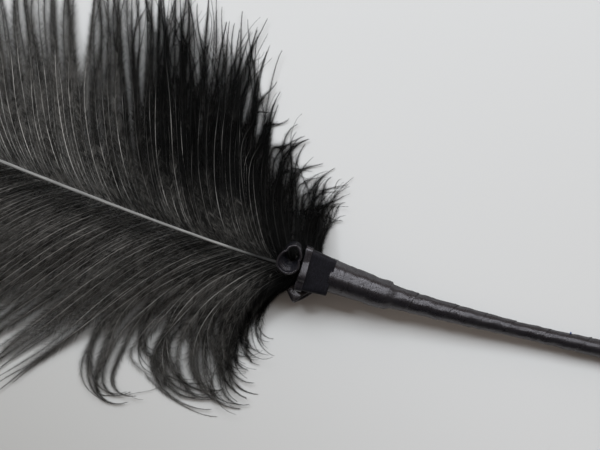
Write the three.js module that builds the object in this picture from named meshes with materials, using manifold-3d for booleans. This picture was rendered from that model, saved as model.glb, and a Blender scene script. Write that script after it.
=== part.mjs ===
// A dyed ostrich plume lying flat on a surface. Its bare quill is wound with satin ribbon as a handle,
// and a small folded bow of the same ribbon sits where the vane begins, held by a flat band.
//
// Millimetres, +Z up, z = 0 is the surface that the plume lies on. The shaft runs from the handle's end
// on the +X side to the plume's tip on the -X side. A place on it is s, its distance from the handle's
// end, and a place beside it is (s, across, rise): across is positive on the +Y side. A place on a barb
// is q, 0 at its root on the shaft and 1 at its tip.

import * as THREE from "three";
import { mergeVertices } from "three/addons/utils/BufferGeometryUtils.js";
import Module from "manifold-3d";

const wasm = await Module();
wasm.setup();

// ---- driving dimensions ----

const wrapLength = 166;
const bandStart = 166.7;
const bandLength = 11;
const vaneStart = 186;
const shaftLength = 576;

// The clearance between the quill and the ribbon wound on it.
const gap = 0.35;

// Where the handle's end stands, so that the whole plume is centred on the origin.
const handleEnd = { x: 306.07, y: -20.24 };

// Which way the shaft runs, in degrees from +X, at distances along it: a slow sideways curve.
const headings = [
  [0, 184.4], [70, 184.4], [110, 183.2], [150, 180.6], [165, 180], [182, 182.9], [200, 178.4],
  [255, 176.3], [310, 175], [420, 169], [shaftLength, 158],
];

// How high the shaft's middle lies: the handle's end rests on the surface, and the drooping barbs
// carry the rest. The handle rises more and more steeply, by the power handleSag of the distance.
const endHeight = 3.05;
const neckHeight = 13.8;
const handleSag = 1.5;
const crestHeight = 16;
const crestAt = 330;
const tipHeight = 2.6;

// Radii of the bare shaft at distances along it: hollow quill, then the rachis.
const quillStart = 2;
const quillRadius = 2.4;
const shaftRadii = [
  [quillStart, quillRadius], [150, quillRadius], [178, 1.95], [205, 1.35], [310, 1.05], [450, 0.7],
  [shaftLength, 0.35],
];

// The ribbon wrap: 16 mm of shaft to each turn, each turn lapping over the one nearer the handle's end.
const wrapRadii = [
  [0, 3.1], [56, 3.25], [69, 3], [86, 2.85], [103, 3.3], [120, 3.7], [137, 4.4], [144, 5.4], [154, 5.9],
  [162, 6.2], [wrapLength, 6.4],
];
const turnPitch = 16;
const lapHeight = 0.55;

// The handle's rounded end: distances from it, with the share of the wrap's radius there.
const roundedEnd = [
  [0, 0.65], [0.4, 0.9], [1.5, 1],
];

// The flat band round the neck: half its width across the shaft and half its thickness, at its two ends.
const bandNeck = { across: 7.2, rise: 6.4 };
const bandVane = { across: 7.6, rise: 6.2 };
const bandWall = 0.9;

// The bow: its two loops with the width of ribbon in each, the strip wound on the quill inside the band,
// and the leg from there to each loop. The winding and the legs are measured along from the band's start.
const ribbonThickness = 0.8;
const upperLoop = {
  s: 184.6, across: 0.2, rise: 8.3, alongRadius: 5.2, acrossRadius: 6.2, width: 8, lean: 25,
};
const lowerLoop = {
  s: 180.7, across: -7.4, rise: -4.9, length: 12, height: 3.4, width: 4.6, turn: 85,
};
const wound = { start: 0.6, end: 8, across: 4.6, rise: 4.3 };
const upperLeg = {
  width: 3.6, thickness: 1.2, path: [[4, 0, 3.6], [11.6, 0, 3.6], [14.9, 0.1, 5.2]],
};
const lowerLeg = {
  width: 3, thickness: 0.9, path: [[4, -1.2, -3.5], [11, -1.6, -3.5], [14.3, -3, -4.4]],
};

// The vane. Each row: distance from the vane's start, barb length, barb angle from the shaft, for one side.
const plusBarbs = [
  [0, 44, 90], [20, 62, 78], [45, 84, 67], [75, 106, 61], [120, 114, 57], [290, 112, 55], [350, 78, 42],
  [390, 46, 2],
];
const minusBarbs = [
  [0, 46, 82], [20, 68, 68], [45, 96, 56], [75, 104, 52], [120, 110, 50], [290, 110, 50], [350, 78, 40],
  [390, 46, 2],
];

// How much a barb turns between its root and its tip on each side. Near the plume's tip, from foldFrom
// along the vane, the barbs fold forward and stay straight.
const plusBend = 34;
const minusBend = 24;
const foldFrom = 320;

const vaneStations = 50;
const barbStations = [0, 0.1, 0.22, 0.36, 0.5, 0.64, 0.76, 0.85, 0.95, 1];

// A barb leaves the shaft rootRise above its middle, arches by archHeight where it is archLength long and
// its root archRoot high, droops from droopFrom on, and lies on the surface from restsFrom to its tip.
const rootRise = 0.6;
const archHeight = 3.2;
const archLength = 100;
const archRoot = 12;
const archShare = 0.8;
const droopFrom = 0.08;
const restsFrom = 0.85;
const bodyThickness = 9;
const rimThickness = 2.0;
const edgeThickness = 1.2;

// The outer edge is split into locks, long and short barbs by turns: a broad wave and a short one.
const lockDepth = 0.035;
const shortWave = { length: 5.2, share: 1 };
const broadWave = { length: 12.5, share: 0.6 };

// ---- the shaft's line ----

const degrees = Math.PI / 180;

function between(rows, at, column = 1) {
  if (at <= rows[0][0]) return rows[0][column];
  for (let i = 1; i < rows.length; i++) {
    if (at <= rows[i][0]) {
      const t = (at - rows[i - 1][0]) / (rows[i][0] - rows[i - 1][0]);
      return THREE.MathUtils.lerp(rows[i - 1][column], rows[i][column], t);
    }
  }
  return rows[rows.length - 1][column];
}

function shaftHeight(s) {
  if (s <= vaneStart) return THREE.MathUtils.lerp(endHeight, neckHeight, (s / vaneStart) ** handleSag);
  if (s <= crestAt) {
    const rise = Math.sin((Math.PI / 2) * ((s - vaneStart) / (crestAt - vaneStart)));
    return neckHeight + (crestHeight - neckHeight) * rise;
  }
  const fall = (s - crestAt) / (shaftLength - crestAt);
  return crestHeight - (crestHeight - tipHeight) * fall * fall;
}

const lineStep = 1;
const linePoints = [new THREE.Vector3(handleEnd.x, handleEnd.y, shaftHeight(0))];
for (let s = lineStep; s <= shaftLength + lineStep; s += lineStep) {
  const heading = between(headings, s - lineStep / 2) * degrees;
  const last = linePoints[linePoints.length - 1];
  const x = last.x + lineStep * Math.cos(heading);
  const y = last.y + lineStep * Math.sin(heading);
  linePoints.push(new THREE.Vector3(x, y, shaftHeight(s)));
}

// The shaft's middle at s, with the directions along it, across it to the +Y side, and up.
function station(s) {
  const index = THREE.MathUtils.clamp(Math.floor(s / lineStep), 0, linePoints.length - 2);
  const start = linePoints[index];
  const end = linePoints[index + 1];
  const point = start.clone().lerp(end, s / lineStep - index);
  const along = end.clone().sub(start).normalize();
  const across = new THREE.Vector3(0, 0, 1).cross(along).negate().normalize();
  const up = across.clone().cross(along).normalize();
  return { point, along, across, up };
}

function place(s, across, rise) {
  const here = station(s);
  return here.point.addScaledVector(here.across, across).addScaledVector(here.up, rise);
}

// ---- closed meshes ----

// The walls of a closed mesh through a row of rings with the same number of points.
function wallsThrough(rings) {
  const sides = rings[0].length;
  const triangles = [];
  for (let r = 0; r + 1 < rings.length; r++) {
    for (let i = 0; i < sides; i++) {
      const j = (i + 1) % sides;
      const a = r * sides;
      const b = a + sides;
      triangles.push([a + i, a + j, b + j], [a + i, b + j, b + i]);
    }
  }
  return triangles;
}

// A closed mesh through a row of rings, its two ends filled by fans.
function skin(rings) {
  const sides = rings[0].length;
  const points = rings.flat();
  const triangles = wallsThrough(rings);
  const capAt = (first, flip) => {
    const middle = new THREE.Vector3();
    for (let i = 0; i < sides; i++) middle.addScaledVector(points[first + i], 1 / sides);
    points.push(middle);
    for (let i = 0; i < sides; i++) {
      const edge = [first + i, first + ((i + 1) % sides)];
      triangles.push(flip ? [edge[1], edge[0], points.length - 1] : [edge[0], edge[1], points.length - 1]);
    }
  };
  capAt(0, true);
  capAt((rings.length - 1) * sides, false);
  return toGeometry(points, triangles);
}

// As skin, but its end rings are flat strips: they are filled by rungs between upper and lower points.
function ladder(rings) {
  const sides = rings[0].length;
  const triangles = wallsThrough(rings);
  const last = (rings.length - 1) * sides;
  for (let i = 0; i + 1 < sides / 2; i++) {
    const opposite = sides - 1 - i;
    triangles.push([i, opposite, opposite - 1], [i, opposite - 1, i + 1]);
    triangles.push([last + i, last + opposite - 1, last + opposite]);
    triangles.push([last + i, last + i + 1, last + opposite - 1]);
  }
  return toGeometry(rings.flat(), triangles);
}

function toGeometry(points, triangles) {
  let volume = 0;
  for (const [a, b, c] of triangles) {
    volume += points[a].dot(points[b].clone().cross(points[c])) / 6;
  }
  const index = triangles.flatMap(([a, b, c]) => (volume < 0 ? [a, c, b] : [a, b, c]));
  const geometry = new THREE.BufferGeometry();
  const positions = points.flatMap((p) => [p.x, p.y, p.z]);
  geometry.setAttribute("position", new THREE.Float32BufferAttribute(positions, 3));
  geometry.setIndex(index);
  return mergeVertices(geometry, 1e-4);
}

function toSolid(geometry) {
  const vertProperties = new Float32Array(geometry.attributes.position.array);
  const triVerts = new Uint32Array(geometry.index.array);
  return new wasm.Manifold(new wasm.Mesh({ numProp: 3, vertProperties, triVerts }));
}

function fromSolid(solid) {
  const mesh = solid.getMesh();
  const geometry = new THREE.BufferGeometry();
  geometry.setAttribute("position", new THREE.Float32BufferAttribute(mesh.vertProperties, 3));
  geometry.setIndex(Array.from(mesh.triVerts));
  return geometry;
}

// An oval ring of points round the shaft at s, and a round one.
function ovalRing(s, acrossRadius, riseRadius, sides) {
  const ring = [];
  for (let i = 0; i < sides; i++) {
    const angle = (2 * Math.PI * i) / sides;
    ring.push(place(s, acrossRadius * Math.cos(angle), riseRadius * Math.sin(angle)));
  }
  return ring;
}

function roundRing(s, radius, sides) {
  return ovalRing(s, radius, radius, sides);
}

function stepsBetween(start, end, count) {
  return Array.from({ length: count + 1 }, (_, i) => start + ((end - start) * i) / count);
}

// ---- feather: quill, rachis and vane, grown as one ----

function shaftSolid() {
  const sides = 10;
  const quill = stepsBetween(quillStart, vaneStart, 7);
  const rachis = stepsBetween(vaneStart, shaftLength, 44).slice(1);
  return toSolid(skin([...quill, ...rachis].map((s) => roundRing(s, between(shaftRadii, s), sides))));
}

// The share of its full length that a barb has in its lock. The two sides' locks don't match.
function lockLength(u, side) {
  const phase = side > 0 ? 0 : 1.7;
  const short = shortWave.share * Math.sin(u / shortWave.length + phase);
  const broad = broadWave.share * Math.sin(u / broadWave.length + 2 * phase);
  return 1 + lockDepth * (short + broad);
}

// A barb's line in plan, with the heights of the vane's upper and lower faces on it.
function barbLine(s, side) {
  const rows = side > 0 ? plusBarbs : minusBarbs;
  const bend = side > 0 ? plusBend : minusBend;
  const u = s - vaneStart;
  const length = between(rows, u, 1) * lockLength(u, side);
  const fold = THREE.MathUtils.smoothstep(u, foldFrom, shaftLength - vaneStart);
  const here = station(s);
  const shaftHeading = Math.atan2(here.along.y, here.along.x);
  const steps = 40;
  const line = [];
  let x = here.point.x;
  let y = here.point.y;
  for (let i = 0; i <= steps; i++) {
    const q = i / steps;
    const angle = between(rows, u, 2) + bend * (1 - fold) * (q - 0.5);
    const heading = shaftHeading - side * angle * degrees;
    line.push({ q, x, y });
    x += (length / steps) * Math.cos(heading);
    y += (length / steps) * Math.sin(heading);
  }
  const rootTop = here.point.z + rootRise;
  const arch = archHeight * Math.min(1, length / archLength) * Math.min(1, rootTop / archRoot);
  return barbStations.map((q) => {
    const spot = line[Math.round(q * steps)];
    const droop = THREE.MathUtils.smoothstep(q, droopFrom, restsFrom);
    const bulge = arch * Math.sin(Math.PI * Math.min(1, q / archShare));
    const pastRest = Math.max(0, (q - restsFrom) / (1 - restsFrom));
    const rim = THREE.MathUtils.lerp(rimThickness, edgeThickness, pastRest);
    const top = THREE.MathUtils.lerp(rootTop + bulge, rim, droop);
    const under = q >= restsFrom ? 0 : Math.max(0, top - bodyThickness);
    return { top: new THREE.Vector3(spot.x, spot.y, top), under: new THREE.Vector3(spot.x, spot.y, under) };
  });
}

function vaneSolid() {
  const rings = stepsBetween(vaneStart, shaftLength, vaneStations).map((s) => {
    const plus = barbLine(s, 1).reverse();
    const minus = barbLine(s, -1).slice(1);
    const row = [...plus, ...minus];
    return [...row.map((spot) => spot.top), ...row.map((spot) => spot.under).reverse()];
  });
  return toSolid(ladder(rings));
}

// ---- ribbon_wrap: the satin ribbon wound round the quill ----

// A closed wedge wound along the shaft, one for all the turns: its thick edge is each turn's lapped edge,
// and it is sunk into the sleeve below.
function lapSolid() {
  const perTurn = 14;
  const sink = 0.5;
  const firstTurn = turnPitch * 0.6;
  const width = turnPitch * 0.9;
  const count = Math.floor(((wrapLength - turnPitch - firstTurn) / turnPitch) * perTurn);
  const rings = [];
  for (let i = 0; i <= count; i++) {
    const angle = (2 * Math.PI * i) / perTurn;
    const edge = firstTurn + (turnPitch * i) / perTurn;
    const corner = (s, lift) => {
      const radius = between(wrapRadii, s) + lift;
      return place(s, radius * Math.cos(angle), radius * Math.sin(angle));
    };
    rings.push([corner(edge, -sink), corner(edge, lapHeight), corner(edge + width, -sink)]);
  }
  return toSolid(skin(rings));
}

function wrapGeometry() {
  const sides = 18;
  const boreSides = 12;
  const overshoot = 2;
  const end = roundedEnd.map(([s, share]) => roundRing(s, share * between(wrapRadii, s), sides));
  const fullFrom = roundedEnd[roundedEnd.length - 1][0];
  const sleeve = stepsBetween(fullFrom, wrapLength, 22).slice(1)
    .map((s) => roundRing(s, between(wrapRadii, s), sides));
  const bore = stepsBetween(quillStart - gap, wrapLength + overshoot, 8)
    .map((s) => roundRing(s, quillRadius + gap, boreSides));
  return fromSolid(toSolid(skin([...end, ...sleeve])).add(lapSolid()).subtract(toSolid(skin(bore))));
}

// ---- bow_band: the flat band of ribbon round the neck ----

function bandGeometry() {
  const sides = 24;
  const shell = (inset, overshoot) => [0, 1].map((t) => {
    const s = bandStart + bandLength * t + overshoot * (2 * t - 1);
    const across = THREE.MathUtils.lerp(bandNeck.across, bandVane.across, t) - inset;
    const rise = THREE.MathUtils.lerp(bandNeck.rise, bandVane.rise, t) - inset;
    return ovalRing(s, across, rise, sides);
  });
  const outside = toSolid(skin(shell(0, 0)));
  const inside = toSolid(skin(shell(bandWall, 1)));
  return fromSolid(outside.subtract(inside));
}

// ---- bow_ribbon: one folded strip, with a loop at each end and its middle under the band ----

// A flat loop of ribbon: its outline is an oval with a radius along each of two directions, and its
// width runs along the axis.
function loopSolid(centre, [first, second, axis], firstRadius, secondRadius, width) {
  const sides = 24;
  const overshoot = 1;
  const wall = (inset, half) => [-half, half].map((offset) => {
    const ring = [];
    for (let i = 0; i < sides; i++) {
      const angle = (2 * Math.PI * i) / sides;
      ring.push(centre.clone()
        .addScaledVector(first, (firstRadius - inset) * Math.cos(angle))
        .addScaledVector(second, (secondRadius - inset) * Math.sin(angle))
        .addScaledVector(axis, offset));
    }
    return ring;
  });
  const outside = toSolid(skin(wall(0, width / 2)));
  return outside.subtract(toSolid(skin(wall(ribbonThickness, width / 2 + overshoot))));
}

function upperLoopSolid() {
  const here = station(upperLoop.s);
  const centre = place(upperLoop.s, upperLoop.across, upperLoop.rise);
  const lean = upperLoop.lean * degrees;
  const axis = here.up.clone().multiplyScalar(Math.cos(lean)).addScaledVector(here.across, -Math.sin(lean));
  const second = axis.clone().cross(here.along).normalize();
  const { alongRadius, acrossRadius, width } = upperLoop;
  return loopSolid(centre, [here.along, second, axis], alongRadius, acrossRadius, width);
}

function lowerLoopSolid() {
  const here = station(lowerLoop.s);
  const centre = place(lowerLoop.s, lowerLoop.across, lowerLoop.rise);
  const turn = lowerLoop.turn * degrees;
  const first = here.along.clone().multiplyScalar(Math.cos(turn))
    .addScaledVector(here.across, -Math.sin(turn));
  const axis = first.clone().cross(here.up).normalize();
  const { length, height, width } = lowerLoop;
  return loopSolid(centre, [first, here.up, axis], length / 2, height / 2, width);
}

// A leg of the bow: a bar of ribbon along its path, with its own width and thickness.
function legSolid({ path, width, thickness }) {
  return toSolid(skin(path.map(([along, across, rise]) => [
    place(bandStart + along, across - width / 2, rise - thickness / 2),
    place(bandStart + along, across + width / 2, rise - thickness / 2),
    place(bandStart + along, across + width / 2, rise + thickness / 2),
    place(bandStart + along, across - width / 2, rise + thickness / 2),
  ])));
}

// The strip's middle, wound round the quill inside the band.
function woundSolid() {
  const sides = 16;
  const overshoot = 1;
  const start = bandStart + wound.start;
  const end = bandStart + wound.end;
  const outside = [start, end].map((s) => ovalRing(s, wound.across, wound.rise, sides));
  const bore = [start - overshoot, end + overshoot].map((s) => roundRing(s, quillRadius + gap, sides));
  return toSolid(skin(outside)).subtract(toSolid(skin(bore)));
}

function bowGeometry() {
  const pieces = [legSolid(upperLeg), legSolid(lowerLeg), upperLoopSolid(), lowerLoopSolid()];
  return fromSolid(pieces.reduce((joined, piece) => joined.add(piece), woundSolid()));
}

// ---- the object ----

const featherBlack = new THREE.MeshStandardMaterial({ color: 0x1c1a1b, roughness: 0.75, metalness: 0 });
const satinBlack = new THREE.MeshStandardMaterial({ color: 0x17171a, roughness: 0.38, metalness: 0 });

const plume = new THREE.Group();

function addPiece(name, geometry, material) {
  const mesh = new THREE.Mesh(geometry, material);
  mesh.name = name;
  plume.add(mesh);
}

addPiece("feather", fromSolid(shaftSolid().add(vaneSolid())), featherBlack);
addPiece("ribbon_wrap", wrapGeometry(), satinBlack);
addPiece("bow_band", bandGeometry(), satinBlack);
addPiece("bow_ribbon", bowGeometry(), satinBlack);

export default plume;
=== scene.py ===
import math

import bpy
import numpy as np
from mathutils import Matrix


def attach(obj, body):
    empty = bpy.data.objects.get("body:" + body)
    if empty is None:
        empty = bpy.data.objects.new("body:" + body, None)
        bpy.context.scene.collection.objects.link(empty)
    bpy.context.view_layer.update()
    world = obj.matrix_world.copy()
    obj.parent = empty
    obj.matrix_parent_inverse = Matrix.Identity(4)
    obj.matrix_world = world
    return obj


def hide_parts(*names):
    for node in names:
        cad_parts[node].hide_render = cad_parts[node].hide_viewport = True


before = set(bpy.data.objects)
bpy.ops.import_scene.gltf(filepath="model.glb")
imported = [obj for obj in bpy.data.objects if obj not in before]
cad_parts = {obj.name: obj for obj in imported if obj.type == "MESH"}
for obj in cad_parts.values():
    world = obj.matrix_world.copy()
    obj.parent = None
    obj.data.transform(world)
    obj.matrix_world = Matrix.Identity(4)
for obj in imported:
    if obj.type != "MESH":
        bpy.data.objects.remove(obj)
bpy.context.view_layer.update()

# A dyed black ostrich plume lying on a pale surface: a pale shaft, two vanes of fluffy barbs, a quill
# wound with black satin ribbon and a small folded bow. Sizes are in millimetres until a mesh is made; the
# floor and the lights are in metres.
# s is a distance along the shaft from the handle's end, q runs along a barb from root (0) to tip (1).
# The right vane is on the +Y side of the shaft (side +1), the left vane on the -Y side (side -1).

MM = 0.001
random = np.random.default_rng(2024)

# ---- camera ----

camera_azimuth = 17
camera_elevation = 78
camera_distance = 345
camera_lens = 50
camera_aim = (121.53, -12.34, 13)

# ---- the shaft's line, the same as in the solid model ----

handle_end = (306.07, -20.24)
headings = [
    (0, 184.4), (70, 184.4), (110, 183.2), (150, 180.6), (165, 180), (182, 182.9), (200, 178.4),
    (255, 176.3), (310, 175), (420, 169), (576, 158),
]
shaft_length = 576
vane_start = 186
crest_at = 330
end_height = 3.05
neck_height = 13.8
handle_sag = 1.5
crest_height = 16
tip_height = 2.6


def rows_at(rows, at, column=1):
    """A column of rows, interpolated at a place or places in their first column."""
    return np.interp(at, [row[0] for row in rows], [row[column] for row in rows])


def shaft_height(s):
    s = np.asarray(s, float)
    handle = end_height + (neck_height - end_height) * (np.clip(s, 0, None) / vane_start) ** handle_sag
    turn = np.clip((s - vane_start) / (crest_at - vane_start), 0, 1)
    rise = neck_height + (crest_height - neck_height) * np.sin(turn * math.pi / 2)
    fall = crest_height - (crest_height - tip_height) * ((s - crest_at) / (shaft_length - crest_at)) ** 2
    return np.where(s <= vane_start, handle, np.where(s <= crest_at, rise, fall))


line_s = np.arange(0, shaft_length + 2.0)
line_heading = np.radians(rows_at(headings, line_s[:-1] + 0.5))
line_x = handle_end[0] + np.concatenate([[0], np.cumsum(np.cos(line_heading))])
line_y = handle_end[1] + np.concatenate([[0], np.cumsum(np.sin(line_heading))])


def shaft_point(s):
    return np.stack([np.interp(s, line_s, line_x), np.interp(s, line_s, line_y), shaft_height(s)], -1)


def unit(v):
    return v / np.maximum(np.linalg.norm(v, axis=-1, keepdims=True), 1e-9)


def shaft_frame(s):
    """The shaft's middle at s, and the directions along it, across it to +Y, and up."""
    s = np.asarray(s, float)
    point = shaft_point(s)
    along = unit(shaft_point(s + 0.5) - shaft_point(s - 0.5))
    across = unit(np.cross(along, [0.0, 0.0, 1.0]))
    up = np.cross(across, along)
    return point, along, across, up


def place(s, across, rise):
    """The point (s, across, rise) beside the shaft; the three may be arrays of one shape."""
    s, across, rise = np.broadcast_arrays(np.asarray(s, float), across, rise)
    point, _, side, up = shaft_frame(s)
    return point + side * across[..., None] + up * rise[..., None]


# ---- small helpers ----

def smooth(value, low, high):
    t = np.clip((np.asarray(value, float) - low) / (high - low), 0, 1)
    return t * t * (3 - 2 * t)


def wander(count, knots, steps):
    """For each of count lines, a smooth random curve through knots values of about -1 to 1."""
    values = np.clip(random.normal(0, 0.6, (count, knots)), -1.3, 1.3)
    at = np.linspace(0, knots - 1, steps)
    low = np.clip(at.astype(int), 0, knots - 2)
    t = at - low
    t = t * t * (3 - 2 * t)
    return values[:, low] * (1 - t) + values[:, low + 1] * t


def make_object(name, points, faces, material, replaced=(), smooth_faces=True, maps=None):
    """faces is an array of triangles or of quads; maps gives a (corner, 2) array for each UV map's name."""
    mesh = bpy.data.meshes.new(name)
    corners = faces.shape[1]
    mesh.vertices.add(len(points))
    mesh.vertices.foreach_set("co", (np.asarray(points, np.float64) * MM).astype(np.float32).ravel())
    mesh.loops.add(faces.size)
    mesh.loops.foreach_set("vertex_index", faces.astype(np.int32).ravel())
    mesh.polygons.add(len(faces))
    mesh.polygons.foreach_set("loop_start", np.arange(0, faces.size, corners, dtype=np.int32))
    for map_name, values in (maps or {}).items():
        layer = mesh.uv_layers.new(name=map_name)
        layer.data.foreach_set("uv", values.astype(np.float32).ravel())
    mesh.polygons.foreach_set("use_smooth", np.full(len(faces), smooth_faces))
    mesh.update(calc_edges=True)
    mesh.validate()
    mesh.materials.append(material)
    piece = bpy.data.objects.new(name, mesh)
    bpy.context.scene.collection.objects.link(piece)
    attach(piece, "root")
    if replaced:
        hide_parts(*replaced)
    return piece


def grid_faces(rows, columns, closed=False):
    """Quads of a grid of points; closed joins its last column to its first."""
    first = np.arange(rows - 1)[:, None] * columns
    column = np.arange(columns if closed else columns - 1)[None, :]
    following = (column + 1) % columns
    quads = [first + column, first + following, first + following + columns, first + column + columns]
    return np.stack(quads, -1).reshape(-1, 4)


# ---- materials ----

class Nodes:
    """A Principled material with short calls to add and link its nodes."""

    def __init__(self, name, **sockets):
        self.material = bpy.data.materials.new(name)
        self.material.use_nodes = True
        self.tree = self.material.node_tree
        self.shader = self.tree.nodes["Principled BSDF"]
        for socket, value in sockets.items():
            self.shader.inputs[socket.replace("_", " ")].default_value = value

    def add(self, kind, settings=None, **inputs):
        node = self.tree.nodes.new(kind)
        for key, value in (settings or {}).items():
            setattr(node, key, value)
        for key, value in inputs.items():
            self.feed(node.inputs[key.replace("_", " ")], value)
        return node

    def feed(self, socket, value):
        if isinstance(value, bpy.types.NodeSocket):
            self.tree.links.new(value, socket)
        else:
            socket.default_value = value

    def math(self, operation, *values):
        node = self.tree.nodes.new("ShaderNodeMath")
        node.operation = operation
        for socket, value in zip(node.inputs, values):
            self.feed(socket, value)
        return node.outputs[0]

    def mix(self, factor, first, second):
        node = self.tree.nodes.new("ShaderNodeMix")
        node.data_type = "RGBA"
        self.feed(node.inputs[0], factor)
        self.feed(node.inputs[6], first)
        self.feed(node.inputs[7], second)
        return node.outputs[2]

    def between(self, value, low, high, to_low=0.0, to_high=1.0):
        node = self.add("ShaderNodeMapRange", {"interpolation_type": "SMOOTHSTEP"})
        for socket, number in zip(node.inputs, (value, low, high, to_low, to_high)):
            self.feed(socket, number)
        return node.outputs[0]

    def noise(self, vector, scale, detail=2.0, rough=0.5):
        node = self.add("ShaderNodeTexNoise", Vector=vector, Scale=scale, Detail=detail, Roughness=rough)
        return node.outputs["Fac"]

    def map_values(self, name):
        """The two values of a UV map."""
        uv = self.add("ShaderNodeUVMap", {"uv_map": name}).outputs[0]
        parts = self.add("ShaderNodeSeparateXYZ", Vector=uv)
        return parts.outputs[0], parts.outputs[1]

    def grain(self, first, first_scale, second, second_scale, detail, rough):
        """Noise that varies with two values, each at a scale of its own."""
        cells = self.add("ShaderNodeCombineXYZ", X=self.math("MULTIPLY", first, first_scale),
                         Y=self.math("MULTIPLY", second, second_scale)).outputs[0]
        return self.noise(cells, 1.0, detail, rough)

    def bump(self, height, distance, strength=1.0):
        node = self.add("ShaderNodeBump", Strength=strength, Distance=distance, Height=height)
        self.feed(self.shader.inputs["Normal"], node.outputs[0])


def grey(value, warm=0.0):
    return (value * (1 + warm), value, value * (1 - warm), 1)


def barb_material():
    """Dyed black barbs with a painted sheen. The Barb map holds q, with shaft_mark added on a barb's own
    shaft, and how grey the colour is painted there, from 0 to 1: grey where the barbules would catch the
    light, pale on the shafts as a painted highlight, dark by the rachis on the left vane as a painted
    shadow."""
    nodes = Nodes("dyed_barbs", Roughness=0.5, Specular_IOR_Level=0.035)
    q, painted_sheen = nodes.map_values("Barb")
    on_shaft = nodes.math("GREATER_THAN", q, 1.5)
    streak = nodes.grain(q, 40.0, painted_sheen, 20.0, 3.0, 0.6)
    shade = nodes.math("MULTIPLY", painted_sheen, nodes.between(streak, 0.3, 0.7, 0.7, 1.2))
    # Painted sheen: the barbules' colour goes from black up to grey where they would catch the light.
    barbule = nodes.mix(shade, grey(0.0013), grey(0.1, 0.07))
    # Painted highlight: a barb's own shaft goes up to a pale grey where it would catch the light.
    shaft = nodes.mix(shade, grey(0.008), grey(0.5, 0.04))
    nodes.feed(nodes.shader.inputs["Base Color"], nodes.mix(on_shaft, barbule, shaft))
    rough = nodes.between(streak, 0.3, 0.7, 0.42, 0.6)
    nodes.feed(nodes.shader.inputs["Roughness"],
               nodes.math("SUBTRACT", rough, nodes.math("MULTIPLY", on_shaft, 0.15)))
    return nodes.material


def rachis_material():
    """Pale grey horn, streaked along its length; near the bow the dye has stayed in it. The Barb map holds
    the place round the shaft and s in metres."""
    nodes = Nodes("rachis_horn", Roughness=0.5, Specular_IOR_Level=0.12)
    around, s = nodes.map_values("Barb")
    grain = nodes.grain(around, 9.0, s, 90.0, 3.0, 0.6)
    horn = nodes.mix(nodes.between(grain, 0.3, 0.75), grey(0.18, 0.02), grey(0.34, 0.03))
    dyed = nodes.mix(nodes.between(grain, 0.3, 0.7), grey(0.004), grey(0.03, 0.03))
    bare = nodes.between(nodes.math("ADD", s, nodes.math("MULTIPLY", grain, 0.006)), 0.2, 0.219)
    nodes.feed(nodes.shader.inputs["Base Color"], nodes.mix(bare, dyed, horn))
    nodes.bump(grain, 0.00008)
    return nodes.material


def satin_material(name, specular, smoothest, roughest):
    """Black satin ribbon: fine ribs of floating threads across its width, glossy along them. Its roughness
    varies from smoothest to roughest. The Cloth map holds metres along the ribbon and across it."""
    nodes = Nodes(name, Specular_IOR_Level=specular, Specular_Tint=(1.0, 0.92, 0.96, 1), Anisotropic=0.2)
    along, across = nodes.map_values("Cloth")
    threads = nodes.grain(along, 700.0, across, 3600.0, 2.0, 0.55)
    slubs = nodes.grain(along, 1100.0, across, 1500.0, 2.0, 0.55)
    uneven = nodes.grain(along, 90.0, across, 160.0, 3.0, 0.55)
    dyed = nodes.mix(nodes.between(threads, 0.35, 0.7), (0.003, 0.003, 0.004, 1), (0.012, 0.012, 0.017, 1))
    nodes.feed(nodes.shader.inputs["Base Color"], dyed)
    rough = nodes.math("ADD", nodes.between(uneven, 0.3, 0.7, smoothest, roughest),
                       nodes.between(slubs, 0.3, 0.7, -0.04, 0.06))
    nodes.feed(nodes.shader.inputs["Roughness"], rough)
    height = nodes.math("ADD", threads, nodes.math("MULTIPLY", slubs, 1.6))
    nodes.bump(height, 0.00008, 0.9)
    return nodes.material


def lint_material():
    nodes = Nodes("blue_lint", Roughness=0.9)
    fuzz = nodes.noise(nodes.add("ShaderNodeTexCoord").outputs["Object"], 9000.0)
    blue = nodes.mix(fuzz, (0.03, 0.07, 0.25, 1), (0.12, 0.2, 0.5, 1))
    nodes.feed(nodes.shader.inputs["Base Color"], blue)
    return nodes.material


def floor_material():
    """Plain pale paper with a painted shade: darker towards the plume's tip and the -Y side, where the
    room's light falls off.
    """
    nodes = Nodes("pale_floor", Roughness=0.9, Specular_IOR_Level=0.1)
    where = nodes.add("ShaderNodeTexCoord").outputs["Object"]
    along = nodes.add("ShaderNodeVectorMath", {"operation": "DOT_PRODUCT"})
    nodes.tree.links.new(where, along.inputs[0])
    along.inputs[1].default_value = (0.53, 0.85, 0)
    # Painted shade: the paper's colour darkens towards the plume's tip and the -Y side in place of the
    # light falling off.
    painted_light_share = nodes.between(along.outputs["Value"], -0.19, 0.1)
    paper = nodes.mix(painted_light_share, (0.44, 0.426, 0.41, 1), (0.7, 0.685, 0.68, 1))
    nodes.feed(nodes.shader.inputs["Base Color"], paper)
    return nodes.material


# ---- rachis ----

# (s, radius) along the bare shaft. It is thinner next to the bow, where the barbs' roots hide its sides.
rachis_radii = [
    (174, 1.4), (190, 0.9), (202, 0.6), (240, 0.6), (270, 0.7), (310, 0.7), (450, 0.48), (576, 0.16),
]


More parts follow.
